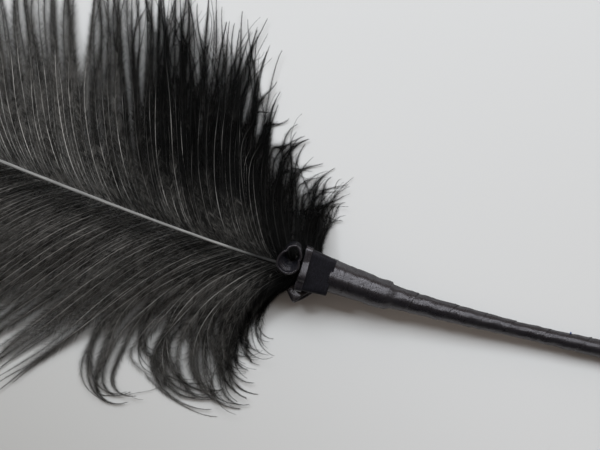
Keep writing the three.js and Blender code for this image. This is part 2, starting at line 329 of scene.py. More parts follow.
def make_rachis(material):
    """The bare shaft above the bow: rounded on top, flatter and grooved beneath, drawn out to a point."""
    places = np.concatenate([np.arange(172, 575, 1.5), [575.5]])
    angles = np.linspace(0, 2 * math.pi, 14, endpoint=False)
    radius = rows_at(rachis_radii, places)[:, None]
    groove = 1 - 0.35 * np.clip(-np.sin(angles), 0, 1) ** 6
    across = radius * np.cos(angles)
    rise = radius * np.sin(angles) * np.where(np.sin(angles) > 0, 0.85, 1.1) * groove
    points = place(places[:, None], across, rise).reshape(-1, 3)
    faces = grid_faces(len(places), len(angles), closed=True)[:, ::-1]
    row, column = np.divmod(faces.reshape(-1), len(angles))
    shade = np.stack([np.abs(column / len(angles) - 0.5), places[row] * MM], 1)
    make_object("rachis", points, faces, material, ["feather"], maps={"Barb": shade})


# ---- barbs: where they lie ----

# Where along a barb its direction is stated.
bend_at = (0, 0.12, 0.3, 0.55, 0.8, 1)

# Rows down each vane: the root's s, the barb's length, and its direction in degrees from +X at bend_at.
right_barbs = [
    (172, 42, 105, 101, 99, 95, 77, 27),
    (179, 50, 121, 113, 107, 103, 91, 47),
    (186, 64, 133, 123, 113, 107, 97, 57),
    (194, 106, 143, 125, 113, 105, 96, 91),
    (205, 113, 143, 123, 112, 106, 101, 98),
    (219, 122, 142, 123, 114, 109, 107, 106),
    (243, 124, 141, 126, 116, 110, 108, 107),
    (265, 122, 141, 128, 119, 114, 112, 111),
    (285, 118, 141, 129, 121, 119, 118, 115),
    (308, 116, 141, 130, 123, 121, 121, 117),
    (460, 112, 137, 129, 123, 119, 117, 113),
    (520, 92, 132, 128, 122, 116, 112, 108),
    (560, 66, 142, 140, 136, 130, 126, 122),
    (576, 46, 156, 155, 153, 150, 146, 140),
]
left_barbs = [
    (172, 60, 209, 211, 219, 241, 277, 357),
    (179, 64, 213, 221, 243, 267, 303, 372),
    (186, 76, 217, 227, 241, 268, 318, 385),
    (193, 86, 215, 222, 234, 259, 322, 388),
    (199.5, 90, 213, 220, 230, 250, 322, 396),
    (200.5, 94, 213, 219, 227, 241, 285, 375),
    (208, 102, 211, 216, 223, 237, 292, 400),
    (210.5, 100, 211, 221, 231, 236, 247, 277),
    (211.5, 102, 211, 221, 230, 233, 236, 243),
    (219, 104, 211, 221, 230, 232, 233, 236),
    (243, 106, 210, 221, 228, 230, 231, 233),
    (265, 110, 210, 220, 226, 228, 229, 231),
    (308, 112, 208, 216, 223, 226, 228, 230),
    (460, 110, 200, 208, 215, 219, 221, 223),
    (520, 90, 190, 193, 198, 202, 206, 210),
    (560, 66, 177, 179, 182, 187, 192, 198),
    (576, 46, 160, 161, 163, 166, 170, 176),
]

# Locks that the barbs' ends cling together in: roots from, to, and the narrower stretch that they end in.
right_locks = [
    (166, 179, 167, 177), (179, 186, 180, 185.6), (186, 193.5, 186.2, 192.6), (193.5, 201.5, 194.3, 200.4),
    (201.5, 211, 202.4, 209.8), (211, 217.5, 213.2, 215.6), (217.5, 226.5, 218.6, 224.8),
    (226.5, 233, 228, 231.6), (233, 239.5, 236, 238.1), (239.5, 252, 244.8, 251.1),
    (252, 263.5, 252.9, 259.2), (263.5, 277, 264.8, 276), (277, 292, 277.7, 291.4),
]
left_locks = [
    (166, 180, 168, 177.5), (180, 186.5, 181.4, 185), (186.5, 193, 188.4, 191.6), (193, 199.8, 195, 199.4),
    (200.2, 210.8, 203.4, 207.4), (211.2, 219, 213.5, 217.5), (219, 231, 220, 230), (231, 246, 232, 245.4),
    (246, 262, 247, 261), (262, 280, 263, 279), (280, 292, 281, 291.2),
]
lock_opens_at = 0.36

# Points along a barb, and their q.
steps = 37
q_line = np.linspace(0, 1, steps)

# The vanes: name, side, rows, locks, up to where the roots are closely spaced, that spacing, and the
# spacing of the extra roots that crowd the neck.
vanes = [
    ("right", 1, right_barbs, right_locks, 245, 1.6, 1.4),
    ("left", -1, left_barbs, left_locks, 200, 2.0, 2.5),
]
vane_from = 174
crowded_from, crowded_until = 182, 197
fine_until, fine_spacing = 322, 1.75
coarse_until, coarse_spacing = 575, 2.2
# The pieces of a vane: name, roots from, to, barbules to a millimetre on each side of a barb, their width.
vane_parts = [
    ("base", 0, 245, 12.5, 0.19), ("middle", 245, 322, 12, 0.19),
    ("outer", 322, 450, 3.7, 0.48), ("tip", 450, 600, 3.7, 0.48),
]
# The down under each vane: how many barbs, and the s that they are rooted up to.
down = {"right": (110, 240), "left": (40, 206)}
# The last barbs run on past the shaft's point: rows as above for each side.
tuft_from, tuft_spacing = 558, 1.5
tuft_rows = {
    "right": [(556, 68, 146, 144, 142, 139, 136, 133), (576, 52, 158, 158, 157, 156, 155, 154)],
    "left": [(556, 68, 172, 174, 176, 180, 184, 188), (576, 52, 158, 159, 160, 161, 163, 165)],
}

# How far along the vane a barb's end strays, how much its direction wavers at its root and more at its tip,
# in degrees, and how many times its piece's curl it bends at most.
end_drift = 3.2
waver_root, waver_tip = 1.2, 4.5
most_bent = 1.6

# A barb leaves the rachis at its height, arches up and comes down to the rim from the q rests_from on.
rim_height = 1.7
rests_from = 0.85
arch_height = 3.2
wave_height = 1.1
end_lift = (-0.9, 1.6)
lowest = 0.35


def more_locks(locks):
    """Carries a vane's locks on to the tip with random ones."""
    locks = list(locks)
    at = locks[-1][1]
    while at < shaft_length + 4:
        width = random.uniform(7, 19)
        margin = width * random.uniform(0.03, 0.2)
        lean = random.uniform(-0.5, 0.5) * margin
        locks.append((at, at + width, at + margin + lean, at + width - margin + lean))
        at += width
    return locks


def lock_shift(locks, s):
    """How far along the vane the end of the barb rooted at s is pulled by its lock."""
    shift = np.zeros_like(s)
    for start, end, tip_start, tip_end in locks:
        inside = (s >= start) & (s < end)
        share = (s[inside] - start) / (end - start)
        shift[inside] = tip_start + share * (tip_end - tip_start) - s[inside]
    return shift


def vane_table(rows):
    """A root at every half millimetre, and the lines of the unruffled barbs there: (roots, steps, xy)."""
    roots = np.arange(164, shaft_length + 8, 0.5)
    length = rows_at(rows, roots, 1)
    direction = np.stack([rows_at(rows, roots, 2 + k) for k in range(len(bend_at))], 1)
    turns = np.array([np.interp(q_line, bend_at, row) for row in direction])
    middle = np.radians((turns[:, 1:] + turns[:, :-1]) / 2)
    step = (length / (steps - 1))[:, None, None]
    moves = np.stack([np.cos(middle), np.sin(middle)], -1) * step
    start = shaft_point(np.clip(roots, 0, shaft_length))[:, None, :2]
    return roots, np.concatenate([start, start + np.cumsum(moves, axis=1)], axis=1)


def lookup(roots, table, s):
    """Table rows at fractional s, for an (barbs, steps) array of s."""
    at = np.clip((s - roots[0]) / (roots[1] - roots[0]), 0, len(roots) - 1.001)
    low = at.astype(int)
    t = (at - low)[..., None]
    column = np.arange(table.shape[1])[None, :]
    return table[low, column] * (1 - t) + table[low + 1, column] * t


def lay_barbs(rows, locks, roots_s, side, ruffle, lift, curl, stretch=(0.93, 1.08)):
    """The barbs' lines (barbs, steps, xyz), their root s and their lengths.

    ruffle scales their random wander, lift is how far under the vane's face they may lie, from least to
    most, curl is the ends' usual bend in degrees and stretch the range of their lengths."""
    count = len(roots_s)
    roots, table = vane_table(rows)
    pull = smooth(q_line, lock_opens_at, 0.95)[None, :]
    ruffle = np.broadcast_to(ruffle, count)[:, None]
    drift = wander(count, 4, steps) * smooth(q_line, 0.12, 1.0)[None, :] * end_drift * ruffle
    path = lookup(roots, table, roots_s[:, None] + lock_shift(locks, roots_s)[:, None] * pull + drift)
    moves = np.diff(path, axis=1)
    length = np.linalg.norm(moves, axis=2)
    direction = np.arctan2(moves[..., 1], moves[..., 0])
    between = (q_line[1:] + q_line[:-1]) / 2
    waver = waver_root + waver_tip * between ** 3
    direction += np.radians(wander(count, 6, steps - 1) * waver * ruffle)
    bent = np.clip(random.normal(0, 1, count), -most_bent, most_bent) * curl
    direction += np.radians(bent[:, None] * smooth(between, 0.6, 1.0)[None, :])
    length = length * random.uniform(*stretch, count)[:, None]
    flat = np.stack([np.cos(direction), np.sin(direction)], -1) * length[..., None]
    _, _, across, _ = shaft_frame(np.clip(roots_s, 0, shaft_length))
    off_middle = side * 0.8 * rows_at(rachis_radii, roots_s)
    start = path[:, :1] + (across[:, :2] * off_middle[:, None])[:, None]
    xy = np.concatenate([start, start + np.cumsum(flat, axis=1)], axis=1)
    total = length.sum(axis=1)
    height = barb_heights(roots_s, total, lift, ruffle)
    return np.concatenate([xy, height[..., None]], axis=2), roots_s, total


def barb_heights(roots_s, total, lift, ruffle):
    """The height of every point of the barbs, an array of (barbs, steps)."""
    count = len(roots_s)
    root = shaft_height(np.clip(roots_s, 0, shaft_length))[:, None] - 0.2
    droop = smooth(q_line, 0.08, rests_from)[None, :]
    arch = arch_height * np.minimum(1, total / 100)[:, None] * np.minimum(1, root / 12)
    bulge = arch * np.sin(math.pi * np.minimum(1, q_line / 0.8))[None, :]
    top = (root + bulge) * (1 - droop) + rim_height * droop
    layer = random.uniform(*lift, count)[:, None] * smooth(q_line, 0.02, 0.35)[None, :] * (1 - 0.75 * droop)
    waves = wander(count, 5, steps) * smooth(q_line, 0.1, 0.5)[None, :] * wave_height * ruffle
    ends = random.uniform(*end_lift, count)[:, None] * smooth(q_line, 0.8, 1.0)[None, :]
    return np.maximum(top - layer + waves + ends, lowest)


# ---- barbs: their meshes ----

# Neighbouring barbules cling together; each clump gets one random brightness, a painted sheen.
clump_size = 10

# Degrees: a barbule's lean from its barb, how much less it is at the barb's end, and how far the two rows
# of barbules twist about the barb, as their wander, their middle and each one's own scatter.
barbule_lean = (20, 44)
end_lean_less = 14
twist_wander, twist_middle, twist_scatter = 30, -10, 22

# Added to q in the Barb map on a barb's own shaft, smoother than its barbules and paler, partly painted
# highlight.
shaft_mark = 2


def frames_along(lines):
    """The directions along each line, to its side and up from it, at every point."""
    tangent = unit(np.gradient(lines, axis=1))
    side = unit(np.cross(tangent, [0.0, 0.0, 1.0]))
    up = np.cross(side, tangent)
    return tangent, side, up


def tube_mesh(lines, radius):
    """Points and quads of three-sided tubes along the lines; radius is one number, or one for each step."""
    count, steps_each = lines.shape[:2]
    _, side, up = frames_along(lines)
    corners = np.radians([90, 210, 330])
    ring = side[:, :, None] * np.cos(corners)[:, None] + up[:, :, None] * np.sin(corners)[:, None]
    points = lines[:, :, None] + ring * np.broadcast_to(radius, steps_each)[:, None, None]
    one = grid_faces(steps_each, 3, closed=True)
    faces = one[None] + (np.arange(count) * steps_each * 3)[:, None, None]
    return points.reshape(-1, 3), faces.reshape(-1, 4)


def shaft_tubes(lines, sheen_grey, highlit_from, highlit_until, radius_root, radius_tip):
    """Three-sided tapered tubes along the barbs, with their two UV maps. They are dark near the root and
    again towards the tip, and pale between, partly a painted highlight; each change is given as the two
    values of q that it lies between."""
    count = len(lines)
    points, faces = tube_mesh(lines, radius_root + (radius_tip - radius_root) * q_line ** 1.2)
    one = grid_faces(steps, 3, closed=True)
    step, corner = np.divmod(np.arange(steps * 3), 3)
    q = np.tile(q_line[step][one], (count, 1, 1)).reshape(-1)
    first = corner[one[:, 0]]
    around = np.tile(np.stack([first, first + 1, first + 1, first], 1) / 3.0, (count, 1, 1)).reshape(-1)
    barb = np.repeat(np.arange(count), one.size)
    patchy = np.exp(0.9 * wander(count, 16, steps)[barb, np.round(q * (steps - 1)).astype(int)])
    # Pale between the two spans, partly the shaft's own colour and partly painted highlight; dark near the
    # rachis as painted shadow, and dark again towards the tip.
    pale = (1 - 0.92 * smooth(q, *highlit_until)) * (0.15 + 0.85 * smooth(q, *highlit_from))
    shade = np.clip(sheen_grey[barb] * patchy * pale, 0, 1)
    return points, faces, uv_maps(q + shaft_mark, around * 0.2 + 0.4, barb, count, shade)


def uv_maps(q, within, barb, count, shade):
    """Barb holds q and the painted shade for the colour, with its painted sheen, highlight and shadow;
    OFBake lays every barb out in a strip of its own.
    """
    strip = (barb + 0.05 + 0.9 * within) / count
    return {"Barb": np.stack([q, shade], 1), "OFBake": np.stack([0.01 + 0.98 * (q % shaft_mark), strip], 1)}


def barbules(lines, total, sheen_grey, root_haze_and_shadow, density, fullness, open_ends, longest, width):
    """Thin slivers on both sides of every barb, leaning towards its tip, finer and sparser at its end.

    The two shade arrays, fullness, open_ends and longest are given for each barb: its painted grey, a
    painted sheen, and that near its root, a grey haze on the right vane and a painted shadow on the left;
    the share of density that it has, the share left out at its end, and its longest barbule."""
    tangent, side, up = frames_along(lines)
    counts = np.maximum((total * density * fullness).astype(int), 4)
    barb = np.repeat(np.arange(len(lines)), counts * 2)
    index = np.concatenate([np.tile(np.arange(n), 2) for n in counts])
    hand = np.concatenate([np.repeat([1.0, -1.0], n) for n in counts])
    q = (index + random.uniform(0, 1, len(index))) / counts[barb]
    at = q * (steps - 1)
    low = np.clip(at.astype(int), 0, steps - 2)
    t = (at - low)[:, None]

    def along_line(values):
        return values[barb, low] * (1 - t) + values[barb, low + 1] * t

    root, forward = along_line(lines), unit(along_line(tangent))
    sideways, upward = unit(along_line(side)), unit(along_line(up))
    twist_line = wander(len(lines), 5, steps) * twist_wander + twist_middle
    twist = np.radians(along_line(twist_line[..., None])[:, 0] + random.normal(0, twist_scatter, len(q)))
    # They grow to their full length over the barb's first seventh and shorten again towards its end.
    reach = (0.42 + 0.58 * smooth(q, 0.0, 0.14)) * (1 - 0.8 * smooth(q, 0.7, 1.0))
    length = longest[barb] * reach * random.uniform(0.6, 1.15, len(q))
    lean = np.radians(random.uniform(*barbule_lean, len(q)) - end_lean_less * smooth(q, 0.75, 1.0))
    outward = sideways * (hand * np.cos(twist))[:, None] + upward * np.sin(twist)[:, None]
    aim = forward * np.cos(lean)[:, None] + outward * np.sin(lean)[:, None]
    tip = root + aim * length[:, None]
    tip[:, 2] = np.maximum(tip[:, 2], 0.12)
    half = forward * (width * 0.5 * (1 - 0.4 * smooth(q, 0.4, 0.8)))[:, None]
    keep = random.uniform(0, 1, len(q)) > open_ends[barb] * smooth(q, 0.4, 0.75)
    points = np.stack([root - half, root + half, tip], 1)[keep]
    faces = np.arange(len(points) * 3).reshape(-1, 3)
    step_q = width / total[barb]
    q_corner = np.stack([q - step_q / 2, q + step_q / 2, q + length * np.cos(lean) / total[barb]], 1)[keep]
    within = np.stack([0.5 + 0.12 * hand, 0.5 + 0.12 * hand, 0.5 + 0.48 * hand], 1)[keep]
    # Painted sheen: each clump of barbules gets one random brightness in its colour.
    clump_sheen = np.exp(random.normal(0, 0.9, len(q) // clump_size + 1))[np.arange(len(q)) // clump_size]
    drift = np.exp(0.8 * along_line(wander(len(lines), 14, steps)[..., None])[:, 0])
    sheen_grey, root_haze_and_shadow = sheen_grey[barb], root_haze_and_shadow[barb]
    # The barbules' painted colour: their grey sheen, varied by clump and along the barb, turning from the
    # colour by the rachis, a grey haze on the right vane and a painted shadow on the left.
    shade = clump_sheen * drift * (root_haze_and_shadow + (sheen_grey - root_haze_and_shadow) * smooth(q, 0.05, 0.3))
    corners = np.repeat(barb[keep], 3)
    maps = uv_maps(np.clip(q_corner.reshape(-1), 0, 1), within.reshape(-1), corners, len(lines),
                   np.clip(np.repeat(shade[keep], 3), 0, 1))
    return points.reshape(-1, 3), faces, maps


def as_triangles(quads):
    """Two triangles for each quad, from an array of its corners or of values at its corners."""
    return np.concatenate([quads[:, [0, 1, 2]], quads[:, [0, 2, 3]]])


def painted_sheen_grey(side, roots_s):
    """How grey each barb's colour is painted: a painted sheen where the barbules catch the light, with a
    random tone. On the right vane it is hardly grey at all near the bow, on the left vane a good deal from
    the curls beside the bow on, and on both more along the plume."""
    near, far, most, curls = (226, 296, 0.68, 0.0) if side > 0 else (192, 242, 0.5, 0.5)
    uneven = np.exp(random.normal(0, 0.2, len(roots_s)))
    painted_sheen = 0.012 + most * smooth(roots_s, near, far) + curls * smooth(roots_s, 174, 190)
    return np.clip(painted_sheen * uneven, 0.004, 0.75)


def shaft_shades(side, roots_s, sheen_grey):
    """The shade of each barb's own shaft, partly a painted highlight, and the two spans of q over which it
    turns pale and dark again. On the right vane most shafts near the bow stay dark and a few are bright;
    on the left they are all a little paler."""
    count = len(roots_s)
    if side > 0:
        shaft_highlight = 0.05 + 0.85 * random.uniform(0, 1, count) ** 2.4
        shaft_highlight = shaft_highlight * smooth(roots_s, 184, 200) * (random.uniform(0, 1, count) < 0.75)
        return np.clip(sheen_grey + shaft_highlight, 0, 1), (0.02, 0.12), (0.4, 0.64)
    shaft_highlight = smooth(roots_s, 192, 206) * random.uniform(0.1, 0.4, count)
    return np.clip(sheen_grey + shaft_highlight, 0, 1), (0.05, 0.24), (0.5, 0.85)


def rachis_haze_and_painted_shadow(side, roots_s, sheen_grey):
    """The colour of the barbules nearest the rachis: a grey haze on the right vane; on the left a painted
    shadow, nearly black, where the rachis shades them.
    """
    if side > 0:
        return np.maximum(sheen_grey, 0.28 * smooth(roots_s, 188, 198))
    # Painted shadow: the left vane's barbules stay nearly black where the rachis shades them.
    return 0.08 * sheen_grey


def barb_piece(name, side, laid, material, radius=(0.24, 0.06), **barbule_settings):
    """One mesh of many barbs, each a shaft that tapers from one radius to the other, with its barbules."""
    lines, roots_s, total = laid
    # The painted colour: the barbules' sheen, their haze and shadow by the rachis, and the shafts'
    # highlight.
    sheen_grey = painted_sheen_grey(side, roots_s)
    root_haze_and_shadow = rachis_haze_and_painted_shadow(side, roots_s, sheen_grey)
    tube_points, tube_faces, tube_maps = shaft_tubes(lines, *shaft_shades(side, roots_s, sheen_grey), *radius)
    points, faces, maps = barbules(lines, total, sheen_grey, root_haze_and_shadow, **barbule_settings)
    joined_points = np.concatenate([tube_points, points])
    joined_faces = np.concatenate([as_triangles(tube_faces), faces + len(tube_points)])
    joined_maps = {}
    for key, values in maps.items():
        of_tubes = as_triangles(tube_maps[key].reshape(-1, 4, 2)).reshape(-1, 2)
        joined_maps[key] = np.concatenate([of_tubes, values])
    make_object(name, joined_points, joined_faces, material, ["feather"], smooth_faces=False,
                maps=joined_maps)


def roots_between(start, end, spacing):
    """Roots at about even spacing, each a little astray."""
    count = int(round((end - start) / spacing))
    return start + (np.arange(count) + random.uniform(0.2, 0.8, count)) * (end - start) / count


def take(laid, chosen):
    """The chosen barbs of those that lay_barbs gives."""
    return tuple(values[chosen] for values in laid)


def make_vanes(material):
    """The barbs of both vanes, as the pieces in vane_parts."""
    for name, side, rows, locks, close_until, close, crowded in vanes:
        locks = more_locks(locks)
        roots_s = np.concatenate([
            roots_between(vane_from, close_until, close),
            roots_between(crowded_from, crowded_until, crowded),
            roots_between(close_until, fine_until, fine_spacing),
            roots_between(fine_until, coarse_until, coarse_spacing),
        ])
        # The ends curl near the bow, more so on the left vane, whose barbs further on lie combed and flat.
        curl = 6 + (18 if side < 0 else 6) * (1 - smooth(roots_s, 186, 200))
        ruffle = 1 - (0.5 * smooth(roots_s, 206, 222) if side < 0 else 0)
        lift = (0.0, 4.5) if side > 0 else (0.0, 1.6)
        # The roots between which the barbs' ends become sparser.
        opening = (226, 250) if side > 0 else (206, 222)
        laid = lay_barbs(rows, locks, roots_s, side, ruffle, lift, curl)
        for part, start, end, density, width in vane_parts:
            chosen = (roots_s >= start) & (roots_s < end)
            barb_piece(f"{name}_barbs_{part}", side, take(laid, chosen), material,
                       density=density, width=width,
                       longest=random.uniform(4.0, 5.4, chosen.sum()),
                       fullness=random.uniform(0.75, 1.2, chosen.sum()),
                       open_ends=0.35 * smooth(roots_s[chosen], *opening))


def make_down(material):
    """Shorter, curlier barbs under the vane, crowded round the neck."""
    start = 172
    radius_root, radius_tip = 0.14, 0.04
    for name, side, rows, locks, *_ in vanes:
        count, end = down[name]
        roots_s = start + (end - start) * random.uniform(0, 1, count) ** 1.7
        laid = lay_barbs(rows, locks, roots_s, side, ruffle=1.5, lift=(-0.5, 6.5), curl=20,
                         stretch=(0.62, 1.05))
        barb_piece(f"{name}_down", side, laid, material, (radius_root, radius_tip), density=10, width=0.18,
                   longest=random.uniform(2.2, 3.6, count), fullness=np.ones(count),
                   open_ends=np.full(count, 0.3))


def make_tip(material):
    """Barbs crowded at the shaft's point, so that the plume ends in one tuft."""
    for name, side, *_ in vanes:
        roots_s = roots_between(tuft_from, shaft_length, tuft_spacing)
        count = len(roots_s)
        laid = lay_barbs(tuft_rows[name], [], roots_s, side, ruffle=1.5, lift=(0.0, 2.0), curl=12)
        barb_piece(f"{name}_tip_tuft", side, laid, material, density=4, width=0.42,
                   longest=random.uniform(3.6, 4.8, count), fullness=np.ones(count),
                   open_ends=np.full(count, 0.3))


# ---- ribbon ----

ribbon_width = 15
ribbon_thickness = 0.15

# The wound ribbon on the quill, and its radii as (s, radius).
wrap_length = 167.6
wrap_radii = [
    (0, 3.1), (56, 3.25), (69, 2.95), (86, 2.85), (103, 3.3), (120, 3.7), (137, 4.3), (140.6, 4.6),
    (141.6, 5.5), (154, 5.9), (162, 6.25), (168, 6.9),
]
# How far the wound ribbon's middle lies to the +Y side of the quill.
wrap_shift = [(0, 0), (145, 0), (162, 0.8), (168, 1.1)]
# Where each turn's edge crosses the +Y side of the quill.
turn_edges = [-3, -3, 12, 26, 41, 56, 73, 88, 100, 112, 129.5, 141, 148.5, 157, 165.5]
turn_width = 18.8
lap_height = 0.34
# Flats of the wound ribbon: the angle that each faces (0 on the +Y side, 90 on top) and, along s, how far
# out it lies as a share of the radius. A long crease runs between the two.
upper_flat = (84, [(0, 0.985), (135, 0.97), (152, 0.93), (166, 0.92)])
side_flat = (41, [(0, 0.97), (135, 0.95), (152, 0.92), (166, 0.91)])
crease_depth = 0.16
# Ripples of the wound ribbon: (height, waves along each 100 mm of s, waves round the quill).
wrap_ripples = [
    (0.07, 7, 1), (0.06, 11, -1), (0.05, 17, 2), (0.035, 31, -1), (0.03, 45, 3), (0.025, 64, -2),
    (0.02, 25, 6),
]

# The band, and its flat length once round the neck.
band_start = 166.3
band_length = 11
band_round = 56
# Its middle lies this far to the +Y side of the shaft. In degrees, its flat top leans away from that side,
# and its folded lip towards it.
band_shift = 0.6
band_turn = 12
lip_turn = 5
# How much further out the band's -Y side lies at the end towards the handle.
band_sag = 0.8
# Half its size across and up at the handle's end, how much more at the vane's end, and how square it is.
band_across, band_rise, band_squareness = 7.0, 6.0, 12
band_across_grows, band_rise_grows = 1.6, 1.0
# Its lip: half its size across and up, how square it is, how wide, and how high above the band it lies.
lip_across, lip_rise, lip_squareness = 6.6, 7.6, 8
lip_width = 2.3
lip_height = 0.7

loop_thickness = 0.26


def ripples(u, v, amounts):
    """A sum of sines of two grids; amounts holds rows of (height, waves along u, waves along v)."""
    total = 0.0
    for height, along_u, along_v in amounts:
        phase = random.uniform(0, 2 * math.pi)
        total = total + height * np.sin(2 * math.pi * (along_u * u + along_v * v) + phase)
    return total


def distances(points):
    """How far along its line each point lies; the points of a line are on the second last axis."""
    gaps = np.linalg.norm(np.diff(points, axis=-2), axis=-1)
    return np.concatenate([np.zeros(gaps.shape[:-1] + (1,)), np.cumsum(gaps, axis=-1)], axis=-1)


def grid_normals(grid, round_rows):
    """Unit normals of a grid of points; round_rows joins its last row to its first."""
    if round_rows:
        padded = np.concatenate([grid[-1:], grid, grid[:1]])
        along_rows = padded[2:] - padded[:-2]
    else:
        along_rows = np.gradient(grid, axis=0)
    return unit(np.cross(along_rows, np.gradient(grid, axis=1)))


def cloth_piece(name, grid, material, replaced, lengths, round_rows=False, thickness=ribbon_thickness,
                dull=None):
    """A closed thin strip round a grid of its middle surface; rows run along the ribbon.

    lengths are the distances along the ribbon at the rows. round_rows joins the last row to the first.
    dull is the finish of the side that the grid's normals point away from, where it isn't the material."""
    normal = grid_normals(grid, round_rows)
    rows, columns = grid.shape[:2]
    outer = grid + normal * thickness / 2
    inner = grid - normal * thickness / 2
    points = np.concatenate([outer, inner[:, ::-1]], axis=1).reshape(-1, 3)
    across = distances(grid)
    across = np.concatenate([across, across[:, ::-1]], axis=1)
    along = np.broadcast_to(lengths[:rows, None], across.shape)
    whole = np.stack([along, across], -1).reshape(-1, 2) * MM
    width = 2 * columns
    if round_rows:
        faces = np.concatenate([grid_faces(rows, width, True), joining_faces(rows, width)])
    else:
        faces = grid_faces(rows, width, True)
        first = np.arange(columns - 1)
        cap = np.stack([first, width - 1 - first, width - 2 - first, first + 1], 1)
        faces = np.concatenate([faces, cap[:, ::-1], cap + (rows - 1) * width])
    uv = whole[faces.reshape(-1)]
    if round_rows:
        last = uv[-width * 4:].reshape(-1, 4, 2)
        last[:, 2:, 0] = lengths[rows] * MM
    piece = make_object(name, points, faces[:, ::-1], material, replaced, maps={"Cloth": uv})
    if dull:
        piece.data.materials.append(dull)
        on_dull_side = np.arange(len(faces)) % width >= columns
        piece.data.polygons.foreach_set("material_index", on_dull_side.astype(np.int32))
    return piece


def joining_faces(rows, columns):
    """Quads from a closed grid's last row to its first."""
    column = np.arange(columns)
    following = (column + 1) % columns
    last = (rows - 1) * columns
    return np.stack([last + column, last + following, following, column], 1)


def cut_flat(angle, radius, facing, distance):
    """The radius at an angle of a round section that has a flat at some distance from its middle."""
    off = np.abs((angle - facing + 180) % 360 - 180)
    return np.minimum(radius, distance / np.cos(np.radians(np.minimum(off, 80))))


def make_winding(material):
    """The handle's ribbon: one strip wound up the quill, each turn over the edge of the one below."""
    per_turn = 48
    edge_cell = 0.012
    turns = len(turn_edges) - 1
    turn = np.linspace(0, turns, turns * per_turn + 1)
    edge = np.interp(turn, np.arange(turns + 1), turn_edges)
    share = np.concatenate([[0], np.linspace(edge_cell, 1 - edge_cell, 15), [1]])[None, :]
    columns = share.shape[1]
    room = np.minimum(turn_width, wrap_length - edge)[:, None]
    s = edge[:, None] + share * room
    angle = np.broadcast_to(360 * turn[:, None], s.shape)
    radius = rows_at(wrap_radii, np.clip(s, 0, wrap_length))
    round_radius = radius
    for facing, share_out in (upper_flat, side_flat):
        radius = cut_flat(angle, radius, facing, round_radius * rows_at(share_out, s))
    crease_angle = (upper_flat[0] + side_flat[0]) / 2 + 2.5 * np.sin(s / 17.0) + 1.5 * np.sin(s / 6.1)
    off = (angle - crease_angle + 180) % 360 - 180
    radius = radius - crease_depth * np.exp(-(off / 5) ** 2)
    radius = radius + ripples(s / 100, angle / 360, wrap_ripples)
    lift = lap_height * (1 - share) + 0.05 * ripples(share, turn[:, None], [(1, 2, 3.3), (0.6, 3, 5.1)])
    lift = lift + ribbon_thickness / 2
    # Before s = 0 the strip is folded in over the handle's end, and it is rounded towards that fold.
    folded = np.minimum(s, 0)
    rounding = 0.8 * np.exp(-np.maximum(s, 0) / 0.6) * (s > 0)
    reach = np.maximum(radius + lift * (s >= 0) + folded - rounding, 0.15)
    here = np.clip(s, 0, wrap_length) - np.where(s < 0, lift * 0.6, 0)
    aside = reach * np.cos(np.radians(angle)) + rows_at(wrap_shift, here)
    grid = place(here, aside, reach * np.sin(np.radians(angle)))
    grid[..., 2] = np.maximum(grid[..., 2], ribbon_thickness)
    lengths = distances(grid[:, columns // 2])
    piece = cloth_piece("ribbon_winding", grid, material, ["ribbon_wrap"], lengths)


def fold_path(first, last, height, lip, count, opening=0.0):
    """A line across a ribbon: straight from first to last, then folded back over itself as a lip.

    opening is how much the lip rises for each millimetre from its fold."""
    turn = np.radians(np.linspace(-90, 90, 7))
    edge_cell = 0.15
    straight = np.concatenate([[first], np.linspace(first + edge_cell, last, count)])
    back = np.linspace(last, last - lip, max(5, int(count * lip / (last - first))))[1:]
    back = np.append(back, back[-1] - edge_cell)
    along = np.concatenate([straight[:-1], last + height / 2 * np.cos(turn), back])
    lip_rises = height + opening * (last - back)
    rise = np.concatenate([np.zeros(count), height / 2 * (1 + np.sin(turn)), lip_rises])
    return along, rise


def squarish(angle, across, rise, power):
    """The radius at an angle of an oval with flattened sides: the more so the greater the power."""
    cosine, sine = np.abs(np.cos(np.radians(angle))), np.abs(np.sin(np.radians(angle)))
    return ((cosine / across) ** power + (sine / rise) ** power) ** (-1 / power)


def make_band(material, dull):
    """The flat band round the neck, dull side out; its edge towards the vane is folded back as a lip."""
    rows = 96
    angle = np.arange(rows)[:, None] * 360 / rows
    first, last = band_start + 0.2, band_start + band_length + 2
    along, rise = fold_path(first, last, lip_height, lip_width, 16, opening=0.02)
    on_lip = rise[None, :] > 0.4
    share = (along[None, :] - band_start) / band_length
    swing = np.cos(np.radians(angle))
    # Neither the band's edges nor its lip's are quite square to the shaft.
    s = along[None, :] + 0.35 * swing * on_lip - 0.5 * swing * share
    sag = band_sag * (1 - share) * np.clip(-swing, 0, 1)
    across = band_across + band_across_grows * share + sag
    flat_face = squarish(angle - band_turn, across, band_rise + band_rise_grows * share, band_squareness)
    lip_face = squarish(angle + lip_turn, lip_across, lip_rise, lip_squareness)
    radius = np.where(on_lip, np.maximum(flat_face, lip_face), flat_face) + rise[None, :]
    radius = radius + ripples(s / 11, angle / 360, [(0.06, 0.5, 3), (0.02, 0.8, -5), (0.012, 1.3, 9)])
    grid = place(s, radius * np.cos(np.radians(angle)) + band_shift, radius * np.sin(np.radians(angle)))
    lengths = np.linspace(0, band_round, rows + 1)
    piece = cloth_piece("neck_band", grid, material, ["bow_band"], lengths, round_rows=True, dull=dull)


